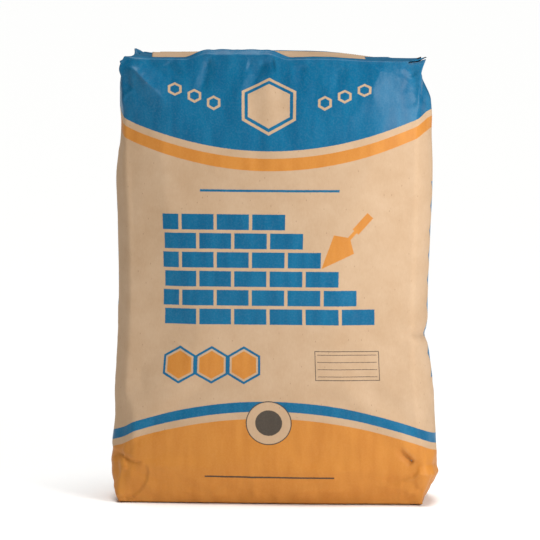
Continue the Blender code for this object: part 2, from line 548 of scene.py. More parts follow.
@dataclass
class PaperSack:
    """The sack's skin: one sheet of printed kraft, closed but for the valve's mouth, with all its folds.

    Sizes are in millimetres, and what is measured in the unit box has no unit. Its handling is the scatter
    of small folds: the panel, half its width, and their number. A facet is one cell of its crumpling, whose
    strength is given for the broad panels, as what the ends add, and as the corners' share of that. A lip of
    the valve has its rise at the middle of the mouth and its rise all along. The pocket behind the mouth goes
    in along X, keeps a share of its Y, and drops.
    """

    finish: Material
    # inside: the near-black painted shade for the valve's pocket faces.
    inside: Material
    form: FilledForm = field(default_factory=FilledForm)
    cloth: PaperCloth = field(default_factory=PaperCloth)
    cell: float = 6.0
    box_size: tuple[float, float, float] = (430.0, 115.0, 620.0)
    front_width: float = 400.0
    side_width: float = 110.0
    end_flap: float = 55.0
    rim_crease: float = 0.85
    side_crease: float = 0.3
    side_crease_from: float = 0.43
    flat_base: float = 0.85
    flat_base_from: float = -0.496
    fine_from: float = 0.395
    seed: int = 7
    drift_wave: tuple[float, float, float] = (2.6, 1.2, 3.4)
    drift_reach: tuple[float, float, float] = (2.2, 3.4, 0.0)
    drift_end: tuple[float, float] = (0.40, 0.499)
    wide_facet: tuple[float, float, float] = (44.0, 44.0, 62.0)
    small_facet: tuple[float, float, float] = (19.0, 19.0, 25.0)
    crumple_strength: tuple[float, float, float] = (0.16, 0.5, 0.7)
    crumple_end: tuple[float, float] = (0.30, 0.47)
    crumple_corner: tuple[float, float] = (0.30, 0.48)
    handling: tuple[tuple[Panel, float, int], ...] = (
        (Panel.FRONT, 200.0, 34),
        (Panel.BACK, 200.0, 46),
        (Panel.LEFT, 50.0, 22),
        (Panel.RIGHT, 50.0, 22),
    )
    valve_from: float = 0.455
    valve_back: float = 0.2
    upper_lip: tuple[float, float] = (3.0, -0.8)
    lower_lip: tuple[float, float] = (0.9, 0.8)
    pocket: tuple[float, float, float] = (24.0, 0.7, 8.5)
    worn_bend: tuple[float, float] = (0.12, 0.7)

    swells: tuple[Swell, ...] = (
        # The top end: low at the front and the right, rolled over at the front, its rear corners up.
        Swell((0, -58, 622), (620, 62, 70), (0, 0, -6.5)),
        Swell((210, 0, 621), (200, 120, 130), (0, 0, -5.0)),
        Swell((-60, 54, 621), (260, 22, 60), (0, 1, 4.0)),
        Swell((-20, 10, 621), (230, 56, 14), (0, 0, -4.5)),
        Swell((-84, -43, 621), (37, 20, 24), (0, -0.5, 12.0)),
        Swell((-45, -43, 621), (37, 20, 24), (0, -0.5, 12.0)),
        Swell((-6, -43, 621), (37, 20, 24), (0, -0.5, 12.0)),
        Swell((-215, 0, 621), (60, 250, 75), (7.5, 0, 0)),
        Swell((-213, -54, 622), (15, 26, 12), (-0.5, 0, -6)),
        Swell((-202, -52, 621), (15, 20, 12), (0, 0, 1.8)),
        Swell((-209, 4, 621), (24, 44, 12), (0, 0, -4.0)),
        Swell((-209, -54, 606), (30, 36, 14), (-3.4, 0, 0)),
        Swell((-209, -54, 590), (30, 40, 24), (-2.0, 0, 0)),
        Swell((76, -43, 621), (76, 20, 24), (0, 0, 2.6)),
        Swell((-206, 52, 622), (26, 30, 20), (9, 0, -1.5)),
        Swell((-150, 54, 621), (130, 22, 60), (0, 0, -4.5)),
        Swell((-209, 28, 621), (24, 26, 12), (0, 0, -3.5)),
        Swell((-213, 54, 622), (22, 16, 12), (0, 0, 5.6)),
        Swell((225, 0, 600), (40, 80, 42), (-12, 0, 0)),
        Swell((190, 52, 621), (125, 62, 60), (0, 0, -8)),
        Swell((215, 52, 620), (40, 50, 40), (-9, 0, -2)),
        Swell((213, -54, 622), (14, 24, 10), (2.5, 0, 5.0)),
        # The hollow and the bulge of the left side, the pinch of the right side, and the lower corners.
        Swell((-224, 0, 532), (60, 90, 90), (9, 0, 0)),
        Swell((-228, 0, 100), (40, 90, 60), (4, 0, 0)),
        Swell((-228, 0, 52), (40, 90, 34), (3.6, 0, 0)),
        Swell((222, 0, 400), (60, 120, 200), (3.2, 0, 0)),
        Swell((222, -58, 562), (100, 50, 72), (0, 10, 0)),
        Swell((-214, -56, 90), (30, 34, 90), (9, 5, 0)),
        Swell((222, 0, 233), (34, 60, 26), (-3.5, 0, 0)),
        Swell((226, 0, 150), (40, 90, 75), (3.5, 0, 0)),
        Swell((214, -52, 0), (190, 50, 30), (0, 3, 0.8)),
    )
    folds: tuple[Fold, ...] = (
        # The ridge down from the upper left corner, and the header's ripples.
        Fold(Panel.FRONT, ((-206, 619), (-186, 602), (-157, 575), (-134, 545)), 9.5, 26, 0.8,
             (0.3, 0.5), 0.5),
        Fold(Panel.FRONT, ((-200, 614), (-186, 602), (-157, 575), (-138, 550)), 0.9, 4, 1.0,
             (0.2, 0.4), 0.4),
        Fold(Panel.FRONT, ((-83, 618), (-88, 596), (-100, 556)), -3.0, 13, 0.8, (0.12, 0.55)),
        Fold(Panel.FRONT, ((-8, 618), (-18, 594), (-40, 550)), -3.0, 16, 0.8, (0.12, 0.55)),
        Fold(Panel.FRONT, ((44, 616), (42, 592), (34, 556)), -2.2, 15, 0.8, (0.12, 0.55)),
        Fold(Panel.FRONT, ((96, 614), (92, 590), (86, 560)), -1.8, 16, 1.0, (0.12, 0.55)),
        Fold(Panel.FRONT, ((-140, 616), (-132, 604), (-118, 596)), -1.8, 10, 1.2, (0.05, 0.5)),
        Fold(Panel.FRONT, ((-31, 614), (-15, 608), (8, 614)), -2.6, 6, 2.0, (0.1, 0.1)),
        # The facets of the upper right corner.
        Fold(Panel.FRONT, ((186, 616), (196, 596), (200, 570), (196, 540)), -3.2, 12, 3.4, (0.2, 0.4), 1.6),
        Fold(Panel.FRONT, ((152, 614), (140, 576), (150, 536)), 2.2, 18, 1.2, (0.1, 0.5)),
        Fold(Panel.FRONT, ((182, 614), (199, 600)), -1.6, 8, 1.0, (0.1, 0.2)),
        # The lower left corner: a crease, the fold below it, and the hollow facet's edge.
        Fold(Panel.FRONT, ((-222, 69), (-200, 61), (-186, 58), (-174, 56)), -3.6, 4, 3.0, (0.02, 0.3), 0.5),
        Fold(Panel.FRONT, ((-173, 57), (-171, 45), (-173, 33), (-181, 19), (-192, 9), (-203, 3)), -2.4, 4,
             5.0, (0.12, 0.05), 0.6),
        # The lower right corner: a dimple, the fold on to the corner, and a ridge near the floor.
        Fold(Panel.FRONT, ((179, 86), (182, 77), (189, 71), (199, 61)), -6.4, 3.6, 2.6, (0.6, 0.12), 0.5),
        Fold(Panel.FRONT, ((184, 88), (188, 77), (197, 69), (206, 63)), 1.8, 8, 0.7, (0.3, 0.3)),
        Fold(Panel.FRONT, ((200, 60), (214, 52), (232, 45)), 2.0, 12, 1.3, (0.5, 0.02)),
        Fold(Panel.FRONT, ((140, 30), (180, 25), (208, 16)), 3.0, 11, 1.4, (0.4, 0.1), 0.6),
        # The long shallow folds above the floor.
        Fold(Panel.FRONT, ((-40, 52), (40, 46), (98, 46), (150, 60)), 1.9, 14, 0.8, (0.3, 0.4)),
        Fold(Panel.FRONT, ((-150, 24), (-90, 13), (-30, 17)), 1.8, 12, 1.0, (0.3, 0.4)),
        Fold(Panel.FRONT, ((20, 16), (70, 24), (120, 18)), 1.6, 12, 1.0, (0.3, 0.4)),
        # The pinch in the right side, and the side panels' corners.
        Fold(Panel.RIGHT, ((-56, 240), (-20, 235), (30, 231)), -3.6, 8, 1.5, (0.1, 0.5)),
        Fold(Panel.RIGHT, ((-56, 226), (-20, 223), (20, 221)), 1.6, 10, 1.0, (0.2, 0.5)),
        Fold(Panel.RIGHT, ((-50, 606), (-10, 560), (6, 500)), 3.4, 18, 1.0, (0.1, 0.5)),
        Fold(Panel.RIGHT, ((50, 606), (16, 566), (6, 520)), 3.2, 16, 1.2, (0.1, 0.5)),
        Fold(Panel.RIGHT, ((-56, 45), (-10, 44), (30, 49)), 7.5, 12, 3.0, (0.01, 0.5), 0.6),
        Fold(Panel.RIGHT, ((-50, 56), (-20, 70), (-6, 96)), 2.4, 18, 1.2, (0.2, 0.5)),
        Fold(Panel.RIGHT, ((54, 12), (22, 48), (8, 90)), 3.2, 18, 1.2, (0.05, 0.5)),
        Fold(Panel.LEFT, ((-50, 608), (-14, 566), (2, 510)), 3.4, 18, 1.0, (0.4, 0.5)),
        Fold(Panel.LEFT, ((50, 610), (22, 570), (12, 530)), 3.0, 16, 1.2, (0.3, 0.5)),
        Fold(Panel.LEFT, ((-54, 68), (-24, 70), (10, 76)), -2.0, 5, 2.4, (0.02, 0.5), 0.6),
        Fold(Panel.LEFT, ((-54, 8), (-24, 40), (-10, 84)), 3.4, 18, 1.2, (0.05, 0.5)),
        Fold(Panel.LEFT, ((54, 8), (26, 46), (12, 100)), 3.4, 18, 1.2, (0.05, 0.5)),
        # The back's pasted seam and its corners.
        Fold(Panel.BACK, ((-70, 4), (-70, 616)), 0.5, 3, 3.0, (0.001, 0.001), 0.8),
        Fold(Panel.BACK, ((-200, 614), (-158, 572), (-140, 530)), 5.0, 24, 1.4, (0.05, 0.5)),
        Fold(Panel.BACK, ((200, 612), (164, 580), (140, 546)), 4.6, 26, 1.4, (0.05, 0.5)),
        Fold(Panel.BACK, ((-206, 8), (-176, 40), (-160, 84)), 4.4, 22, 1.4, (0.05, 0.5)),
        Fold(Panel.BACK, ((206, 8), (172, 44), (156, 96)), 4.4, 22, 1.4, (0.05, 0.5)),
        Fold(Panel.BACK, ((60, 616), (52, 590), (40, 556)), -2.6, 14, 1.0, (0.02, 0.7)),
        Fold(Panel.BACK, ((-70, 616), (-62, 588), (-56, 560)), -2.4, 14, 1.0, (0.02, 0.7)),
    )

    def build(self) -> tuple[Object, Mesh]:
        """Builds the whole skin.

        Returns:
            The sack's object, and its coarse cage shaped to the finished skin.
        """
        sack = self.cut_box()
        place = recall(sack.data, PLACE)
        write_points(sack.data, self.form.fill_out(place) + self.drift(place) * MM)
        write_points(sack.data, self.cloth.settle(sack, place))
        cage = sack.data
        self.refine(sack)
        place = recall(sack.data, PLACE)
        self.press_folds(sack, place)
        self.push_swells(sack)
        write_points(cage, read_points(sack.data)[: len(cage.vertices)])
        self.lay_sheet(sack, place)
        self.open_valve(sack)
        self.mark_wear(sack)
        return sack, cage

    def cut_box(self) -> Object:
        """Cuts a unit box into near square cells, and keeps each point's place in it.

        Returns:
            The box's object.
        """
        form = bmesh.new()
        bmesh.ops.create_cube(form, size=1.0)
        for axis, size in enumerate(self.box_size):
            cut_along(form, axis, round(size / self.cell) - 1)
        sack = new_object("sack_paper", form, (self.finish, self.inside))
        store(sack.data, PLACE, "FLOAT_VECTOR", read_points(sack.data))
        return sack

    def drift(self, place: np.ndarray) -> np.ndarray:
        """Gives the form slow unevenness, so that the sack isn't the same on both sides.

        Args:
            place: The points' places in the unit box.

        Returns:
            The points' moves, in millimetres.
        """
        held = 1.0 - smooth_step(*self.drift_end, np.abs(place[:, 2]))
        spread = place * np.array(self.drift_wave) + self.seed
        noise.seed_set(self.seed)
        wander = np.array([noise.noise_vector(Vector(row)) for row in spread])
        return wander * held[:, None] * np.array(self.drift_reach)

    def refine(self, sack: Object) -> None:
        """Rounds the paper's cells into ones half as large, and cuts those near the ends once more.

        Args:
            sack: The sack's object.
        """
        self.crease_rims(sack.data)
        rounding = sack.modifiers.new("rounding", "SUBSURF")
        rounding.levels = rounding.render_levels = 1
        graph = bpy.context.evaluated_depsgraph_get()
        fine = bpy.data.meshes.new_from_object(
            sack.evaluated_get(graph), preserve_all_data_layers=True, depsgraph=graph
        )
        sack.modifiers.clear()
        form = bmesh.new()
        form.from_mesh(fine)
        placed = form.verts.layers.float_vector[PLACE]
        near_end = [e for e in form.edges if all(abs(v[placed].z) > self.fine_from for v in e.verts)]
        bmesh.ops.subdivide_edges(form, edges=near_end, cuts=1, smooth=0.6, use_grid_fill=True)
        form.to_mesh(fine)
        form.free()
        sack.data = fine

    def crease_rims(self, mesh: Mesh) -> None:
        """Keeps the rims of the two ends crisp, and the vertical folds next to them.

        Args:
            mesh: The sack's mesh.
        """
        place = np.abs(recall(mesh, PLACE))
        first, second = (place[ends] for ends in read_edges(mesh))
        on_edge = ((first > ON_FACE) & (second > ON_FACE)).sum(1) > 1
        height = (first[:, 2] + second[:, 2]) / 2
        upright = self.side_crease * self.rim_crease * smooth_step(self.side_crease_from, NEAR_FACE, height)
        layer = mesh.attributes.new("crease_edge", "FLOAT", "EDGE")
        layer.data.foreach_set("value", np.where(height > ON_FACE, self.rim_crease, upright) * on_edge)

    def small_folds(self) -> list[Fold]:
        """Scatters the small creases of handled paper, most of them near the edges.

        Returns:
            The folds.
        """
        draw = np.random.default_rng(self.seed)
        made = []
        for panel, half_width, count in self.handling:
            for _ in range(count):
                across = half_width * (1.0 - 0.9 * draw.random() ** 1.6) * draw.choice((-1, 1))
                up = self.box_size[2] * draw.beta(0.6, 0.6)
                angle = draw.uniform(0.0, math.pi)
                length = draw.uniform(14.0, 60.0)
                bend = draw.uniform(-0.18, 0.18) * length
                run, rise = math.cos(angle), math.sin(angle)
                path = tuple(
                    (across + t * length / 2 * run - b * rise, up + t * length / 2 * rise + b * run)
                    for t, b in ((-1, 0.0), (0, bend), (1, 0.0))
                )
                height = draw.uniform(0.25, 0.9) * draw.choice((-1, 1))
                made.append(Fold(panel, path, height, draw.uniform(4.0, 9.0), draw.uniform(0.6, 1.6)))
        return made

    def crumple(self, points: np.ndarray, place: np.ndarray) -> np.ndarray:
        """Gives the facets of crumpled paper, faint in the broad panels and stronger near the ends.

        Args:
            points: The points, in millimetres.
            place: Their places in the unit box.

        Returns:
            The lift at each point, in millimetres.
        """
        ends = smooth_step(*self.crumple_end, np.abs(place[:, 2]))
        corners = smooth_step(*self.crumple_corner, np.abs(place[:, 0]))
        broad, more, corner_share = self.crumple_strength
        strength = broad + more * np.maximum(ends, corner_share * corners)
        lift = np.empty(len(points))
        wide_cells = points / np.array(self.wide_facet)
        small_cells = points / np.array(self.small_facet) + np.array([9.0, 0.0, 0.0])
        for number, cells in enumerate(zip(wide_cells, small_cells)):
            wide, small = (noise.voronoi(Vector(cell))[0] for cell in cells)
            lift[number] = (wide[1] - wide[0]) - 0.5 * (small[1] - small[0])
        return (lift - lift.mean()) * strength

    def press_folds(self, sack: Object, place: np.ndarray) -> None:
        """Folds and crumples the paper along its normals.

        Args:
            sack: The sack's object.
            place: Its points' places in the unit box.
        """
        points = read_points(sack.data) / MM
        lift = self.crumple(points, place)
        holds = {panel: panel.hold(place) for panel in Panel}
        for fold in (*self.folds, *self.small_folds()):
            lift += fold.lift(fold.panel.flatten(points)) * holds[fold.panel]
        lift *= 1.0 - self.flat_base * smooth_step(self.flat_base_from, -HALF, place[:, 2])
        write_points(sack.data, (points + read_normals(sack.data) * lift[:, None]) * MM)

    def push_swells(self, sack: Object) -> None:
        """Pushes the paper where the sack leans, sinks and rolls over.

        Args:
            sack: The sack's object.
        """
        points = read_points(sack.data) / MM
        points += sum(swell.shift(points) for swell in self.swells)
        points[:, 2] = np.maximum(points[:, 2], self.form.base)
        write_points(sack.data, points * MM)

    def lay_sheet(self, sack: Object, place: np.ndarray) -> None:
        """Gives each face its place on the flat sheet, in metres: round the tube, and up it.

        Args:
            sack: The sack's object.
            place: Its points' places in the unit box.
        """
        mesh = sack.data
        corner_points = np.empty(len(mesh.loops), dtype=int)
        mesh.loops.foreach_get("vertex_index", corner_points)
        corners = place[corner_points].reshape(-1, 4, 3)
        middle = corners.mean(1)
        front, side = self.front_width / 2, self.side_width
        x, y, z = corners[..., 0] * 2, corners[..., 1] * 2, (corners[..., 2] + HALF) * self.form.top
        on_side = np.abs(middle[:, 0]) > ON_FACE
        on_back = ~on_side & (middle[:, 1] > 0)
        sign = np.sign(middle[:, 0])[:, None]
        around = np.where(on_back[:, None], front * 2 + side - x * front, x * front)
        around = np.where(on_side[:, None], sign * (front + (y + 1) / 2 * side), around)
        over = (1.0 - np.abs(y)) * self.end_flap
        up = np.where((middle[:, 2] > ON_FACE)[:, None], self.form.top + over, z)
        up = np.where((middle[:, 2] < -ON_FACE)[:, None], -over, up)
        layer = mesh.uv_layers.new(name=SHEET)
        layer.data.foreach_set("uv", (np.stack([around, up], 2) * MM).ravel())

    def open_valve(self, sack: Object) -> None:
        """Opens the valve's mouth, a pocket under the top end at the right that turns the front corner.

        Args:
            sack: The sack's object.
        """
        form = bmesh.new()
        form.from_mesh(sack.data)
        placed = form.verts.layers.float_vector[PLACE]
        row = 1.0 / (2 * round(self.box_size[2] / self.cell))

        def in_mouth(face: BMFace) -> bool:
            """Says whether a face lies in the row that opens."""
            x, y, z = (sum(v[placed][k] for v in face.verts) / len(face.verts) for k in range(3))
            on_wall = x > ON_FACE or y < -ON_FACE
            return on_wall and HALF - row < z < ON_FACE and x > self.valve_from and y < self.valve_back

        mouth = [face for face in form.faces if in_mouth(face)]
        for vert in {v for face in mouth for v in face.verts}:
            x, y, z = vert[placed]
            start, end, at = (self.valve_from, HALF, x) if y < -ON_FACE else (-HALF, self.valve_back, y)
            arch = math.sin(math.pi * min(1.0, max(0.0, (at - start) / (end - start))))
            upper = (z - HALF + row) / row
            high, low = (lip[0] * arch + lip[1] for lip in (self.upper_lip, self.lower_lip))
            vert.co.z += (upper * high + (1.0 - upper) * low) * MM
        inner = set(extrude(form, mouth, hollow=True))
        deep, kept, drop = self.pocket
        for vert in inner:
            vert.co.x -= deep * MM
            vert.co.y *= kept
            vert.co.z -= drop * MM
        # The pocket's faces take the second material: near-black painted shade for the deep mouth.
        for face in {face for vert in inner for face in vert.link_faces}:
            face.material_index = 1
        form.to_mesh(sack.data)
        form.free()
        sack.data.update()

    def mark_wear(self, sack: Object) -> None:
        """Marks where ink cracks and rubs off: along sharp crests and round the ends' rims.

        Args:
            sack: The sack's object.
        """
        mesh = sack.data
        points = read_points(mesh) / MM
        bend = ((points - neighbour_mean(mesh, points)) * read_normals(mesh)).sum(1)
        wear = smooth_step(*self.worn_bend, bend)[:, None]
        for _ in range(2):
            wear = (wear + neighbour_mean(mesh, wear)) / 2
        store(mesh, WEAR, "FLOAT", wear)


class Graph:
    """A material's node tree, with the one method that adds a node."""

    def __init__(self, name: str) -> None:
        """Makes a material with an empty Principled shader."""
        self.material = bpy.data.materials.new(name)
        self.material.use_nodes = True
        self.tree = self.material.node_tree
        self.shader = self.tree.nodes["Principled BSDF"]

    def feed(self, socket: NodeSocket, value: object) -> None:
        """Links a socket to an input, or sets the input's own value; None leaves it alone."""
        if isinstance(value, NodeSocket):
            self.tree.links.new(value, socket)
        elif value is not None:
            socket.default_value = value

    def add(self, kind: str, *inputs: object, out: int | str = 0, **settings: object) -> NodeSocket:
        """Adds one node with its settings and its links.

        Args:
            kind: The node's type, without its prefix, and for a maths node its operation after a space.
            inputs: What goes into its inputs, in order.
            out: The output to give back, by number or name.
            settings: Its properties, and inputs by name where the name starts with a capital.

        Returns:
            The output.
        """
        kind, *operation = kind.split()
        node = self.tree.nodes.new("ShaderNode" + kind)
        if operation:
            node.operation = operation[0]
        for key, value in settings.items():
            if key[0].islower():
                setattr(node, key, value)
        for socket, value in zip(node.inputs, inputs):
            self.feed(socket, value)
        for key, value in settings.items():
            if key[0].isupper():
                self.feed(node.inputs[key], value)
        return node.outputs[out]

    def finish(
        self, colour: object, roughness: object, gloss: object = None, normal: object = None
    ) -> Material:
        """Feeds the shader.

        Args:
            colour: Its base colour, linear.
            roughness: Its roughness.
            gloss: Its specular level.
            normal: Its normal.

        Returns:
            The finished material.
        """
        fed = {"Base Color": colour, "Roughness": roughness, "Specular IOR Level": gloss, "Normal": normal}
        for name, value in fed.items():
            self.feed(self.shader.inputs[name], value)
        return self.material


@dataclass(frozen=True)
class Kraft:
    """Unbleached sack kraft, made on a paper machine from long pine fibre: tan, matt and cloudy.

    The eye sees clouds a few centimetres across, fine streaks up the web and a few dark specks of bark. The
    fibres are drawn about twice as coarse as they are, so that they show.
    """

    pale: str = "#C0A385"
    deep: str = "#B69777"
    speck: str = "#80603F"
    roughness: float = 0.8
    gloss: float = 0.25

    def colour(self, graph: Graph, place: NodeSocket) -> NodeSocket:
        """Draws the paper's colour.

        Args:
            graph: The material's graph.
            place: The object coordinates.

        Returns:
            The colour.
        """
        cloud = graph.add("TexNoise", place, Scale=1 / 0.040, Detail=5.0, Roughness=0.6)
        web = graph.add("Mapping", place, None, None, (1.0, 1.0, 0.4))
        fibre = graph.add("TexNoise", web, Scale=1 / 0.0020, Detail=3.0)
        both = graph.add("Math MULTIPLY_ADD", fibre, 0.35, cloud)
        share = graph.add("MapRange", both, 0.45, 0.90, 0.0, 1.0)
        tan = graph.add("MixRGB", share, linear(self.deep), linear(self.pale))
        bark = graph.add("TexVoronoi", web, Scale=1 / 0.007)
        dark = graph.add("MapRange", bark, 0.03, 0.09, 0.6, 0.0)
        return graph.add("MixRGB", dark, tan, linear(self.speck))

    def relief(self, graph: Graph, place: NodeSocket) -> NodeSocket:
        """Draws the paper's surface: its fibres, and the faint facets left by handling.

        Args:
            graph: The material's graph.
            place: The object coordinates.

        Returns:
            The normal.
        """
        web = graph.add("Mapping", place, None, None, (1.0, 1.0, 0.3))
        fibre = graph.add("TexNoise", web, Scale=1 / 0.0012, Detail=4.0, Roughness=0.6)
        sway = graph.add("TexNoise", place, Scale=1 / 0.030, Detail=2.0, out="Color")
        bent = graph.add("VectorMath MULTIPLY_ADD", sway, (0.018, 0.018, 0.018), place)
        broad = graph.add("TexVoronoi", bent, Scale=1 / 0.030, feature="DISTANCE_TO_EDGE")
        small = graph.add("TexVoronoi", bent, Scale=1 / 0.011, feature="DISTANCE_TO_EDGE")
        facets = graph.add("Math MULTIPLY_ADD", small, 0.35, broad)
        up = graph.add("SeparateXYZ", place, out="Z")
        off = graph.add("Math ABSOLUTE", graph.add("Math SUBTRACT", up, 0.31))
        near_end = graph.add("MapRange", off, 0.19, 0.29, 0.12, 0.45)
        handled = graph.add("Bump", Strength=near_end, Distance=0.0016, Height=facets)
        return graph.add("Bump", Strength=0.3, Distance=0.00012, Height=fibre, Normal=handled)


@dataclass(frozen=True)
class Ink:
    """Water-based flexographic ink: a thin film, smoother than the paper, that the fibres show through."""

    deep: str
    pale: str
    cover: float
    roughness: float
    gloss: float


@dataclass(frozen=True)
class Layout:
    """Where the print stands, in millimetres from the middle of a panel and from the sack's base."""

    front: float = 400.0
    side: float = 110.0
    header: tuple[float, float, float] = (490.0, 44.0, 14.0)
    footer: tuple[float, float, float] = (122.0, -38.0, -12.0)
    header_band: tuple[float, float] = (10.0, 17.0)
    footer_band: tuple[float, float] = (10.0, 14.0)
    brick: tuple[float, float] = (50.0, 26.0)
    joint: float = 4.5
    courses: int = 6
    wall_base: float = 250.0
    wall_half: float = 150.0
    flap_margin: float = 88.0
    halfway: float = 310.0
    badge: tuple[float, float] = (0.0, 553.0)
    badge_radius: float = 36.0
    comb: tuple[float, float] = (74.0, 556.0)
    comb_step: tuple[float, float] = (26.0, 10.0)
    comb_radius: float = 9.5
    tiles: tuple[tuple[float, float], ...] = ((-124.0, 196.0), (-79.0, 196.0), (-34.0, 196.0))
    tile_radius: float = 17.0
    swatch: tuple[float, float] = (0.0, 116.0)
    swatch_radius: float = 30.0
    chip_radius: float = 18.0
    form: tuple[float, float] = (108.0, 196.0)
    form_half: tuple[float, float] = (44.0, 20.0)
    rule_base: float = 181.0
    rule_gap: float = 5.0
    foot_bar: tuple[float, float] = (0.0, 40.0)
    foot_half: tuple[float, float] = (84.0, 1.2)
    head_bar: tuple[float, float] = (0.0, 436.0)
    head_half: tuple[float, float] = (96.0, 1.6)
    trowel: tuple[float, float] = (112.0, 372.0)
    trowel_lean: float = -42.0


class PrintedKraft:
    """The sack's printed paper: three inks on kraft, drawn in real sizes on the sheet.

    The eye sees flat fields of ink that pale where the fibres show through, and bare paper between them.
    """

    def __init__(self, paper: Kraft, layout: Layout) -> None:
        """Builds the material.

        Args:
            paper: The paper under the inks.
            layout: Where the print stands.
        """
        self.paper = paper
        self.layout = layout
        self.blue = Ink("#00587E", "#0A668C", 1.0, 0.40, 0.17)
        self.orange = Ink("#BC772C", "#C68235", 0.98, 0.52, 0.2)
        self.grey = Ink("#33302C", "#3A3733", 0.94, 0.5, 0.2)
        self.graph = Graph("flexo_printed_sack_kraft")
        self.material = self.dress()

    def inked(self, distance: NodeSocket) -> NodeSocket:
        """Turns a signed distance in millimetres to a mask that is 1 where it is below 0."""
        return self.graph.add("MapRange", distance, 0.35, -0.35, 0.0, 1.0)

    def folded(self, panel: NodeSocket, centre: tuple[float, float]) -> NodeSocket:
        """Gives how far a place is from a point along each axis, never below 0."""
        away = self.graph.add("VectorMath SUBTRACT", panel, (*centre, 0.0))
        return self.graph.add("VectorMath ABSOLUTE", away)

    def box(self, panel: NodeSocket, centre: tuple[float, float], half: tuple[float, float]) -> NodeSocket:
        """Gives the signed distance to an upright box.

        Args:
            panel: The panel coordinates.
            centre: The box's middle.
            half: Its half sizes.

        Returns:
            The distance.
        """
        add = self.graph.add
        past = add("SeparateXYZ", add("VectorMath SUBTRACT", self.folded(panel, centre), (*half, 0.0)))
        return add("Math MAXIMUM", past, past.node.outputs["Y"])

    def hexagon(self, panel: NodeSocket, centre: tuple[float, float], radius: float) -> NodeSocket:
        """Gives the signed distance to a hexagon that stands on a point.

        Args:
            panel: The panel coordinates.
            centre: Its middle.
            radius: From its middle to a side.

        Returns:
            The distance.
        """
        add, folded = self.graph.add, self.folded(panel, centre)
        slant = add("VectorMath DOT_PRODUCT", folded, (0.5, math.sqrt(0.75), 0.0), out="Value")
        widest = add("Math MAXIMUM", slant, add("SeparateXYZ", folded))
        return add("Math SUBTRACT", widest, radius)

    def disc(self, panel: NodeSocket, centre: tuple[float, float], radius: float) -> NodeSocket:
        """Gives the signed distance to a disc."""
        away = self.graph.add("VectorMath DISTANCE", panel, (*centre, 0.0), out="Value")
        return self.graph.add("Math SUBTRACT", away, radius)

    def outline(self, distance: NodeSocket, middle: float, half: float) -> NodeSocket:
        """Gives the distance to a line of half a thickness, drawn this far outside a shape's edge."""
        off = self.graph.add("Math SUBTRACT", distance, middle)
        return self.graph.add("Math SUBTRACT", self.graph.add("Math ABSOLUTE", off), half)

    def any_of(self, masks: Sequence[NodeSocket]) -> NodeSocket:
        """Joins masks into the one that is 1 where any of them is."""
        joined = masks[0]
        for mask in masks[1:]:
            joined = self.graph.add("Math MAXIMUM", joined, mask)
        return joined

    def without(self, mask: NodeSocket, hole: NodeSocket) -> NodeSocket:
        """Cuts one mask out of another."""
        rest = self.graph.add("Math SUBTRACT", 1.0, hole)
        return self.graph.add("Math MULTIPLY", mask, rest)

    def swag(self, across: NodeSocket, beside: NodeSocket, is_side: NodeSocket,
             line: tuple[float, float, float]) -> NodeSocket:
        """Draws a line round the sack that bends on each panel and meets itself at the vertical folds.

        Args:
            across: The distance from a broad panel's middle.
            beside: The distance from a side panel's middle.
            is_side: The mask of the side panels.
            line: Its height at a broad panel's middle, its rise to the folds, and the further rise on a side.

        Returns:
            The line's height.
        """
        add = self.graph.add
        middle, rise, crest = line
        steep = rise / (self.layout.front / 2) ** 2
        round_side = -crest / (self.layout.side / 2) ** 2
        broad = add("Math MULTIPLY_ADD", add("Math MULTIPLY", across, across), steep, middle)
        narrow = add("Math MULTIPLY", beside, beside)
        narrow = add("Math MULTIPLY_ADD", narrow, round_side, middle + rise + crest)
        return add("Mix", is_side, None, broad, narrow)

    def brick_wall(self, across: NodeSocket, up: NodeSocket) -> NodeSocket:
        """Draws a wall in running bond with a stepped end.

        Args:
            across: The distance from the panel's middle.
            up: The height on the sheet.

        Returns:
            The mask.
        """
        add, lay = self.graph.add, self.layout
        long, high = lay.brick
        half_height = lay.courses * high / 2
        rise = add("Math DIVIDE", add("Math SUBTRACT", up, lay.wall_base), high)
        course = add("Math FLOOR", rise)
        shift = add("Math MULTIPLY", add("Math MODULO", course, 2.0), 0.5)
        run = add("Math MULTIPLY_ADD", across, 1 / long, shift)
        to_head = add("Math MULTIPLY", add("Math PINGPONG", run, 0.5), long)
        to_bed = add("Math MULTIPLY", add("Math PINGPONG", rise, 0.5), high)
        nearest = add("Math MINIMUM", to_head, to_bed)
        joint = add("Math SUBTRACT", lay.joint / 2, nearest)
        step = add("Math MULTIPLY_ADD", course, -long / 2, lay.wall_half)
        past = add("Math SUBTRACT", across, step)
        panel = add("CombineXYZ", across, up)
        block = self.box(panel, (0.0, lay.wall_base + half_height), (lay.wall_half, half_height))
        return self.inked(add("Math MAXIMUM", block, add("Math MAXIMUM", past, joint)))

    def trowel(self, panel: NodeSocket) -> NodeSocket:
        """Draws a mason's pointing trowel that leans over the wall's steps.

        Args:
            panel: The panel coordinates.

        Returns:
            The mask.
        """
        add, lay = self.graph.add, self.layout
        lean = (0.0, 0.0, math.radians(lay.trowel_lean))
        turned = add("Mapping", panel, (*lay.trowel, 0.0), lean, vector_type="TEXTURE")
        apart = add("SeparateXYZ", turned)
        wide = add("Math ABSOLUTE", apart)
        down = apart.node.outputs["Y"]
        flank = add("Math SUBTRACT", add("Math MULTIPLY_ADD", down, -0.42, wide), 24.0)
        heel = add("Math MULTIPLY_ADD", down, 1.6, wide)
        blade = add("Math MAXIMUM", flank, heel)
        neck = self.box(turned, (0.0, 3.0), (2.4, 10.0))
        grip = self.box(turned, (0.0, 26.0), (5.5, 15.0))
        return self.inked(add("Math MINIMUM", blade, add("Math MINIMUM", neck, grip)))

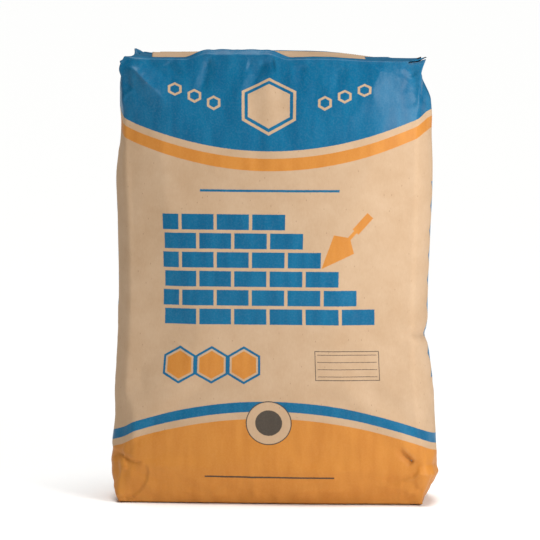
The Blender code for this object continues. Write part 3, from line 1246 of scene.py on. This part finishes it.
    def diamond_row(self, along: NodeSocket, off: NodeSocket, pitch: float, half: float,
                    length: float) -> NodeSocket:
        """Draws a row of diamonds.

        Args:
            along: The distance along the row from its middle.
            off: The distance from the row's line.
            pitch: From one diamond to the next.
            half: From a diamond's middle to its point.
            length: Half the row's length.

        Returns:
            The mask.
        """
        add = self.graph.add
        run = add("Math MULTIPLY", along, 1 / pitch)
        near = add("Math MULTIPLY", add("Math PINGPONG", run, 0.5), pitch)
        shape = add("Math ADD", near, add("Math ABSOLUTE", off))
        past = add("Math SUBTRACT", add("Math ABSOLUTE", along), length)
        return self.inked(add("Math MAXIMUM", add("Math SUBTRACT", shape, half), past))

    def dress(self) -> Material:
        """Lays the inks on the paper.

        Returns:
            The finished material.
        """
        add, lay = self.graph.add, self.layout
        place = add("TexCoord", out="Object")
        shiver = add("TexNoise", place, Scale=1 / 0.0022, Detail=2.0, out="Color")
        shiver = add("VectorMath SUBTRACT", shiver, (0.5,) * 3)
        sheet = add("VectorMath SCALE", add("UVMap", uv_map=SHEET), Scale=1000.0)
        sheet = add("VectorMath MULTIPLY_ADD", shiver, (0.9,) * 3, sheet)
        apart = add("SeparateXYZ", sheet)
        up = apart.node.outputs["Y"]
        from_fold = add("Math ADD", apart, lay.front / 2)
        wrapped = add("Math WRAP", from_fold, lay.front + lay.side, 0.0)
        across = add("Math SUBTRACT", wrapped, lay.front / 2)
        beside = add("Math SUBTRACT", wrapped, lay.front + lay.side / 2)
        is_side = add("Math GREATER_THAN", wrapped, lay.front)
        is_broad = add("Math SUBTRACT", 1.0, is_side)
        panel = add("CombineXYZ", across, up)

        above = add("Math SUBTRACT", self.swag(across, beside, is_side, lay.header), up)
        below = add("Math SUBTRACT", up, self.swag(across, beside, is_side, lay.footer))
        header_line = self.outline(above, lay.header_band[0] + lay.header_band[1] / 2, lay.header_band[1] / 2)
        footer_line = self.outline(below, lay.footer_band[0] + lay.footer_band[1] / 2, lay.footer_band[1] / 2)
        from_middle = add("Math SUBTRACT", up, lay.halfway)
        past_flap = add("Math SUBTRACT", add("Math ABSOLUTE", from_middle), lay.halfway + lay.flap_margin)
        printed = self.inked(past_flap)

        badge = self.hexagon(panel, lay.badge, lay.badge_radius)
        plate = self.without(self.inked(badge), self.inked(self.outline(badge, -6.0, 2.2)))
        cells = []
        for side in (-1, 1):
            for number in range(3):
                out, rise = (a + b * number for a, b in zip(lay.comb, lay.comb_step))
                cells.append(self.hexagon(panel, (side * out, rise), lay.comb_radius))
        comb = self.any_of([self.inked(self.outline(cell, -2.0, 1.6)) for cell in cells])
        tiles = [self.hexagon(panel, middle, lay.tile_radius) for middle in lay.tiles]
        swatch = self.disc(panel, lay.swatch, lay.swatch_radius)
        chip = self.disc(panel, lay.swatch, lay.chip_radius)
        form = self.box(panel, lay.form, lay.form_half)
        rule = add("Math PINGPONG", add("Math SUBTRACT", up, lay.rule_base), lay.rule_gap)
        rule = add("Math SUBTRACT", rule, 0.4)
        ruled = add("Math MAXIMUM", rule, add("Math ADD", form, 3.0))
        foot_bar = self.box(panel, lay.foot_bar, lay.foot_half)
        head_bar = self.box(panel, lay.head_bar, lay.head_half)

        broad_blue = self.any_of([
            self.brick_wall(across, up),
            self.inked(head_bar),
            *(self.inked(self.outline(tile, 4.2, 1.6)) for tile in tiles),
        ])
        column = self.diamond_row(from_middle, beside, 34.0, 14.0, 136.0)
        broad_orange = self.any_of([self.trowel(panel), *(self.inked(tile) for tile in tiles)])
        blue = self.any_of([
            self.without(self.inked(above), self.any_of([plate, comb])),
            self.inked(footer_line),
            add("Math MULTIPLY", broad_blue, is_broad),
            add("Math MULTIPLY", column, is_side),
        ])
        orange = self.any_of([
            self.inked(header_line),
            self.inked(below),
            add("Math MULTIPLY", broad_orange, is_broad),
        ])
        grey = self.any_of([
            self.inked(shape)
            for shape in (self.outline(swatch, 0.0, 0.7), chip, self.outline(form, 0.0, 0.5), ruled, foot_bar)
        ])
        hole = self.inked(swatch)
        inks = (
            (self.orange, self.without(orange, hole)),
            (self.blue, self.without(blue, hole)),
            (self.grey, add("Math MULTIPLY", grey, is_broad)),
        )

        wear = add("Attribute", attribute_name=WEAR, out="Fac")
        mottle = add("TexNoise", place, Scale=1 / 0.0024, Detail=4.0, Roughness=0.65)
        web = add("TexNoise", add("Mapping", place, None, None, (1.0, 1.0, 0.2)), Scale=1 / 0.014, Detail=2.0)
        depth = add("MapRange", add("Math MULTIPLY_ADD", mottle, 0.4, web), 0.50, 0.90, 1.0, 0.0)
        thin = add("MapRange", mottle, 0.35, 0.55, 0.97, 1.0)
        scuff = add("Math MULTIPLY", wear, add("MapRange", mottle, 0.42, 0.60, 0.0, 0.3))
        kept = add("Math MULTIPLY", thin, add("Math SUBTRACT", 1.0, scuff))
        kept = add("Math MULTIPLY", kept, printed)
        colour = self.paper.colour(self.graph, place)
        shine, gloss = self.paper.roughness, self.paper.gloss
        for ink, mask in inks:
            laid = add("Math MULTIPLY", add("Math MULTIPLY", mask, kept), ink.cover)
            tone = add("MixRGB", depth, linear(ink.deep), linear(ink.pale))
            colour = add("MixRGB", laid, colour, tone)
            shine = add("Mix", laid, None, shine, ink.roughness)
            gloss = add("Mix", laid, None, gloss, ink.gloss)
        return self.graph.finish(colour, shine, gloss, self.paper.relief(self.graph, place))


class PlainKraft:
    """Kraft pressed smooth on the drying cylinder and left unprinted: the eye sees bare tan paper."""

    def __init__(self, paper: Kraft) -> None:
        """Builds the material.

        Args:
            paper: The paper's looks.
        """
        graph = Graph("machine_glazed_kraft")
        place = graph.add("TexCoord", out="Object")
        colour, relief = paper.colour(graph, place), paper.relief(graph, place)
        self.material = graph.finish(colour, paper.roughness, paper.gloss, relief)


class PaintedValveMouthShade:
    """Painted shade in the valve's pocket: a near-black colour that stands for the shade deep in the mouth.
    """

    def __init__(self, paper: Kraft) -> None:
        """Builds the material.

        Args:
            paper: The paper's looks.
        """
        graph = Graph("valve_mouth_painted_shade")
        place = graph.add("TexCoord", out="Object")
        # Painted shade: a near-black mottle for the shadowed inside of the mouth.
        shade_mottle = graph.add("TexNoise", place, Scale=1 / 0.004, Detail=3.0)
        shade = graph.add("MixRGB", shade_mottle, linear("#121212"), linear("#2B2A28"))
        self.material = graph.finish(shade, 0.95, 0.1, paper.relief(graph, place))


class CementPowder:
    """Dry cement, ground finer than flour and settled: dull warm grey with soft lumps."""

    def __init__(self) -> None:
        """Builds the material."""
        graph = Graph("ground_grey_cement")
        place = graph.add("TexCoord", out="Object")
        lumps = graph.add("TexNoise", place, Scale=1 / 0.012, Detail=8.0, Roughness=0.7)
        share = graph.add("MapRange", lumps, 0.35, 0.65, 0.0, 1.0)
        grey = graph.add("MixRGB", share, linear("#8F8C84"), linear("#A8A59C"))
        uneven = graph.add("Bump", Strength=0.6, Distance=0.0012, Height=lumps)
        self.material = graph.finish(grey, 0.95, normal=uneven)


@dataclass
class LaidPaper:
    """A thin sheet of paper pasted on one end of the sack, which follows the paper under it.

    It runs from y_start to y_end, and its half width narrows from half_near at y_start to half_far where
    the slant ends. Its gap is how far its underside stays off the sack. It is tucked under at its start over
    the length of its tuck, and its free edge lifts by its curl. Sizes are in millimetres.
    """

    name: str
    finish: Material
    on_top: bool
    half_near: float
    half_far: float
    slant: float
    y_start: float
    y_end: float
    gap: float
    thickness: float = 0.4
    shift: float = 0.0
    cell: float = 2.0
    tooth: float = 0.0
    end_tooth: float = 0.0
    tuck: float = 0.0
    curl: float = 0.0
    curl_run: float = 8.0
    skew: float = 0.0
    sheet_edge: float = 621.0

    def build(self, sack: Object) -> Object:
        """Lays the sheet on the sack.

        Args:
            sack: The finished sack.

        Returns:
            The sheet's object.
        """
        depth = abs(self.y_end - self.y_start)
        columns = 2 * round(self.half_near / self.cell)
        rows = max(2, round(depth / self.cell / 1.5))
        form = bmesh.new()
        bmesh.ops.create_grid(form, x_segments=columns, y_segments=rows, size=0.5)
        layer = form.loops.layers.uv.new(SHEET)
        tree = BVHTree.FromObject(sack, bpy.context.evaluated_depsgraph_get())
        laid = {}
        for vert in form.verts:
            share = vert.co.y + 0.5
            reach = share * depth
            column, row = round((vert.co.x + 0.5) * columns), round(share * rows)
            half = self.half_near + (self.half_far - self.half_near) * min(1.0, reach / self.slant)
            x = self.shift + vert.co.x * 2 * half + vert.co.y * self.skew
            y = self.y_start + (self.y_end - self.y_start) * share
            if row == rows:
                y += math.copysign(self.tooth, self.y_end - self.y_start) * (column % 2 - 0.5)
            if column in (0, columns):
                x += self.end_tooth * (row % 2 - 0.5)
            rim = max(0.0, 1.0 - reach / self.tuck) if self.tuck else 0.0
            edge = min(1.0, max(0.0, reach - depth + self.curl_run) / self.curl_run) ** 2
            lift = self.gap - rim * (self.gap + self.thickness + 0.6) + edge * self.curl
            laid[vert] = (x, reach)
            vert.co = self.touch(tree, x, y, lift)
        for face in form.faces:
            for loop in face.loops:
                x, reach = laid[loop.vert]
                loop[layer].uv = (x * MM, (self.sheet_edge + reach if self.on_top else -reach) * MM)
        up = self.thickness * MM * (1.0 if self.on_top else -1.0)
        bmesh.ops.translate(form, verts=extrude(form, form.faces[:]), vec=(0.0, 0.0, up))
        bmesh.ops.recalc_face_normals(form, faces=form.faces)
        return new_object(self.name, form, (self.finish,))

    def touch(self, tree: BVHTree, x: float, y: float, lift: float) -> Vector:
        """Finds the place off the sack's end at a point.

        Args:
            tree: The sack's surface.
            x: The point's x, in millimetres.
            y: Its y.
            lift: How far off the surface it stays.

        Returns:
            The place, in metres.
        """
        if self.on_top:
            return Vector((x * MM, y * MM, top_at(tree, x, y) + lift * MM))
        hit = tree.ray_cast(Vector((x * MM, y * MM, BELOW)), Vector((0.0, 0.0, 1.0)))[0]
        level = hit.z if hit and hit.z < 0.012 else 0.0016
        return Vector((x * MM, y * MM, level - lift * MM))


@dataclass
class ValveSleeve:
    """The flat paper sleeve that the sack was filled through: two plies whose mouth stands a little open.

    It thins from its middle to its edges, where the share edge is left, and it waves with the paper over it.
    Sizes are in millimetres.
    """

    finish: Material
    half_width: float = 36.5
    thickness: float = 2.6
    ply: float = 0.4
    start: float = 60.5
    mouth: float = 198.0
    opening: float = 30.0
    drop: float = 4.6
    edge: float = 0.35
    wave: float = 0.3
    wave_run: float = 17.0

    def build(self, sack: Object) -> Object:
        """Builds the sleeve under the sack's top end.

        Args:
            sack: The finished sack.

        Returns:
            The sleeve's object.
        """
        length = self.mouth - self.start
        form = bmesh.new()
        bmesh.ops.create_cube(form, size=1.0)
        for axis, cuts in ((0, 29), (1, 17), (2, 1)):
            cut_along(form, axis, cuts)
        bmesh.ops.scale(form, vec=(length, 2 * self.half_width, self.thickness), verts=form.verts)
        mouth = [face for face in form.faces if face.calc_center_median().x > length / 2 - 0.01]
        bmesh.ops.inset_region(form, faces=mouth, thickness=self.ply, use_even_offset=True)
        bmesh.ops.translate(form, verts=extrude(form, mouth, hollow=True), vec=(-self.opening, 0.0, 0.0))
        tree = BVHTree.FromObject(sack, bpy.context.evaluated_depsgraph_get())
        for vert in form.verts:
            x, y, z = vert.co
            share = y / self.half_width
            lens = self.edge + (1.0 - self.edge) * math.sqrt(max(0.0, 1.0 - share**2))
            x += self.start + length / 2
            wave = self.wave * math.sin(x / self.wave_run + share)
            vert.co = Vector((x * MM, y * MM, top_at(tree, x, y) + (z * lens - self.drop + wave) * MM))
        bmesh.ops.recalc_face_normals(form, faces=form.faces)
        return new_object("valve_sleeve_paper", form, (self.finish,))


@dataclass
class CementMass:
    """The settled cement, a little smaller than the sack and clear of the valve sleeve."""

    finish: Material
    inset: float = 2.6
    headroom: float = 7.0
    narrowing: float = 9.0

    def build(self, cage: Mesh) -> Object:
        """Builds the mass inside the finished paper.

        Args:
            cage: The sack's coarse cage, shaped to the finished skin.

        Returns:
            The mass's object.
        """
        place = recall(cage, PLACE)
        points = read_points(cage) - read_normals(cage) * self.inset * MM
        near_top = smooth_step(0.45, HALF, place[:, 2])
        points[:, 2] -= near_top * self.headroom * MM
        points -= np.sign(place) * np.array([1.0, 1.0, 0.0]) * near_top[:, None] * self.narrowing * MM
        write_points(cage, points)
        cage.name = "cement_mass"
        cage.materials.clear()
        cage.materials.append(self.finish)
        mass = bpy.data.objects.new("cement_mass", cage)
        bpy.context.scene.collection.objects.link(mass)
        return mass


@dataclass
class Studio:
    """A pale floor, a soft key from the front and the right, a broad light overhead, and the camera.

    Lengths are in metres, angles in degrees, the lens in millimetres, the key's power in watts.
    """

    azimuth: float = 4.0
    elevation: float = 6.0
    distance: float = 4.5
    lens: float = 216.0
    target: tuple[float, float, float] = (-0.0035, 0.0, 0.3207)
    lit: tuple[float, float, float] = (0.0, 0.0, 0.31)
    floor: float = 60.0
    world_strength: float = 0.14
    key_spot: tuple[float, float, float] = (0.74, -0.74, 0.62)
    key_power: float = 8.5
    key_side: float = 0.4
    overhead_spot: tuple[float, float, float] = (0.0, -0.1, 3.0)
    overhead_strength: float = 2.9
    overhead_spread: float = 34.0

    def build(self) -> None:
        """Sets the floor, the lights, the world and the camera."""
        form = bmesh.new()
        bmesh.ops.create_grid(form, x_segments=1, y_segments=1, size=self.floor)
        graph = Graph("matt_white_studio_floor")
        graph.finish(linear("#FBFBFA"), 0.9, 0.1)
        new_object("studio_floor", form, (graph.material,))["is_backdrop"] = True
        world = bpy.data.worlds.new("soft_white")
        world.use_nodes = True
        background = world.node_tree.nodes["Background"].inputs
        background["Color"].default_value = (1.0, 1.0, 1.0, 1.0)
        background["Strength"].default_value = self.world_strength
        bpy.context.scene.world = world
        bpy.context.scene.view_settings.view_transform = "Standard"
        self.add_light("key", "AREA", self.key_spot, self.key_power, size=self.key_side)
        spread = math.radians(self.overhead_spread)
        self.add_light("overhead", "SUN", self.overhead_spot, self.overhead_strength, angle=spread)
        self.add_camera()

    def add_light(
        self, name: str, kind: str, spot: tuple[float, float, float], energy: float, **shape: float
    ) -> None:
        """Adds a light that looks at the sack's middle.

        Args:
            name: Its name.
            kind: Its type.
            spot: Where it stands, in metres.
            energy: Its power.
            shape: Its size or angle.
        """
        light = bpy.data.lights.new(name, kind)
        light.energy = energy
        for key, value in shape.items():
            setattr(light, key, value)
        lamp = bpy.data.objects.new(name, light)
        lamp.location = spot
        lamp.rotation_euler = (Vector(self.lit) - lamp.location).to_track_quat("-Z", "Y").to_euler()
        bpy.context.scene.collection.objects.link(lamp)

    def add_camera(self) -> None:
        """Stands the camera where the photograph was taken from."""
        turn, rise = math.radians(self.azimuth), math.radians(self.elevation)
        back = Vector((math.sin(turn) * math.cos(rise), -math.cos(turn) * math.cos(rise), math.sin(rise)))
        lens = bpy.data.cameras.new("camera")
        lens.lens = self.lens
        lens.sensor_width = 36.0
        camera = bpy.data.objects.new("camera", lens)
        camera.location = Vector(self.target) + back * self.distance
        camera.rotation_euler = (-back).to_track_quat("-Z", "Y").to_euler()
        bpy.context.scene.collection.objects.link(camera)
        bpy.context.scene.camera = camera


def fit(piece: Object, slot: Slot, *nodes: str) -> None:
    """Makes a piece ride with the sack and stand for its CAD nodes, and logs its size.

    Args:
        piece: The finished piece.
        slot: The record's material slot; not used.
        nodes: The nodes it replaces.
    """
    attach(piece, BODY)
    if nodes:
        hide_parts(*nodes)
    report(piece)


def main() -> None:
    """Builds every piece of the cement bag in order."""
    logging.basicConfig(level=logging.INFO, format="%(name)s: %(message)s")
    kraft = Kraft()
    printed = PrintedKraft(kraft, Layout()).material
    plain = PlainKraft(kraft).material
    cement = CementPowder().material
    Studio().build()

    # The valve's pocket gets a near-black painted shade.
    sack, cage = PaperSack(printed, PaintedValveMouthShade(kraft).material).build()
    fit(sack, Slot.PRINTED, "paper_sack")
    fit(CementMass(cement).build(cage), Slot.CEMENT, "cement_fill")
    fit(ValveSleeve(plain).build(sack), Slot.PLAIN, "valve_sleeve")

    flaps = (
        LaidPaper("top_back_flap", printed, True, 195, 160, 42, 50, 4, 0.1, tuck=5),
        LaidPaper("top_front_flap", printed, True, 195, 160, 42, -50, 43, 0.6, tuck=5, tooth=1.6, curl=1.2),
        LaidPaper("bottom_back_flap", printed, False, 205, 165, 42, 48, 4, 0.05, 0.3, tuck=4),
        LaidPaper("bottom_front_flap", printed, False, 205, 165, 42, -48, 40, 0.4, 0.3, tuck=4, tooth=1.6),
    )
    for flap in flaps:
        fit(flap.build(sack), Slot.PRINTED)
    top_strip = LaidPaper(
        "top_strip_paper", plain, True, 146, 146, 1, -39, 39, 1.1, 0.4, -20, end_tooth=1.5, skew=-7
    )
    fit(top_strip.build(sack), Slot.PLAIN, "top_cover_strip")
    bottom_strip = LaidPaper(
        "bottom_strip_paper", plain, False, 195, 195, 1, -46, 46, 1.1, 0.4, end_tooth=1.5
    )
    fit(bottom_strip.build(sack), Slot.PLAIN, "bottom_cover_strip")

    boxes = {"cad": cad_box, "visual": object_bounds()}
    {key: [list(corner) for corner in box] for key, box in boxes.items()}


if __name__ == "__main__":
    main()
